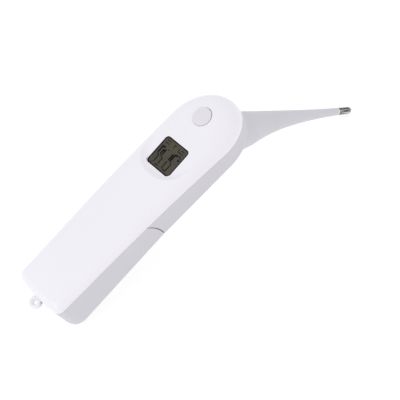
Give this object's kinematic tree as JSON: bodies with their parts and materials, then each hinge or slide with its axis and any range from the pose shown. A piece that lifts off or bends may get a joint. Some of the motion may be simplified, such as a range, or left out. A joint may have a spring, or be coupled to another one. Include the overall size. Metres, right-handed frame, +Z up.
{
  "type": "digital thermometer",
  "caption": "Long-handled contact thermometer with a small LCD and one button, a battery cover, and a curved horn-shaped neck that ends in a metal sensing tip.",
  "frame": {"origin": "centre of the footprint on the table, with the thermometer lying display up on the back edge of its tail and on its metal tip", "axes": "+X from the handle's tail towards the probe tip, +Y across the handle, +Z up; the handle's own axis rises 21.43 degrees towards the head"},
  "size_m": [0.2238, 0.0406, 0.0702],
  "materials": {
    "cover_white": "glossy moulded ABS, off-white with a faint lavender tint",
    "housing_grey": "satin moulded ABS, cool mid grey, fine spark-eroded texture",
    "button_grey": "satin moulded keycap, light grey",
    "inner_grey": "plain moulded inner parts",
    "lens_clear": "clear acrylic display lens with a dark printed border",
    "lcd_glass": "reflective LCD, dark olive grey",
    "rubber_black": "elastomer connector strips and switch plunger",
    "board_green": "glass-epoxy circuit board with green solder mask",
    "epoxy_black": "black encapsulant and sounder case",
    "wire_red": "red wire insulation",
    "wire_black": "black wire insulation",
    "collar_white": "white bonding collar",
    "tip_steel": "drawn and polished stainless steel",
    "nickel": "nickel-plated spring steel and screws",
    "cell_jacket": "printed cell jacket, plain",
    "ceramic": "epoxy-coated thermistor bead"
  },
  "bodies": {
    "handle": {"front_cover": "cover_white", "rear_housing": "housing_grey", "display_lens": "lens_clear", "lcd_panel": "lcd_glass", "lcd_frame": "inner_grey", "zebra_strip_tail": "rubber_black", "zebra_strip_head": "rubber_black", "circuit_board": "board_green", "controller_chip": "epoxy_black", "buzzer": "epoxy_black", "switch_body": "epoxy_black", "battery_tray": "inner_grey", "battery_left": "cell_jacket", "battery_right": "cell_jacket", "contact_spring_left": "nickel", "contact_spring_right": "nickel", "contact_bridge": "nickel", "contact_negative": "nickel", "contact_positive": "nickel", "case_screw_1": "nickel", "case_screw_2": "nickel", "case_screw_3": "nickel", "case_screw_4": "nickel", "probe_sheath": "housing_grey", "tip_collar": "collar_white", "probe_tip": "tip_steel", "thermistor_bead": "ceramic", "sensor_lead_left": "wire_red", "sensor_lead_right": "wire_black", "supply_lead_positive": "wire_red", "supply_lead_negative": "wire_black"},
    "button": {"button_cap": "button_grey"},
    "plunger": {"switch_plunger": "rubber_black"},
    "battery_door": {"battery_cover": "housing_grey"}
  },
  "joints": [
    {"name": "power_button", "type": "slide", "parent": "handle", "child": "button", "axis": [0.4259, 0, -0.9048], "range_m": [0, 0.0006], "stiffness_N_per_m": 1500},
    {"name": "switch_travel", "type": "slide", "parent": "handle", "child": "plunger", "axis": [0.4259, 0, -0.9048], "range_m": [0, 0.00025]},
    {"name": "battery_cover_slide", "type": "slide", "parent": "handle", "child": "battery_door", "axis": [-0.9309, 0, -0.3653], "range_m": [0, 0.01]}
  ],
  "couplings": [
    {"joint": "switch_travel", "follows": "power_button", "ratio": 0.4}
  ]
}
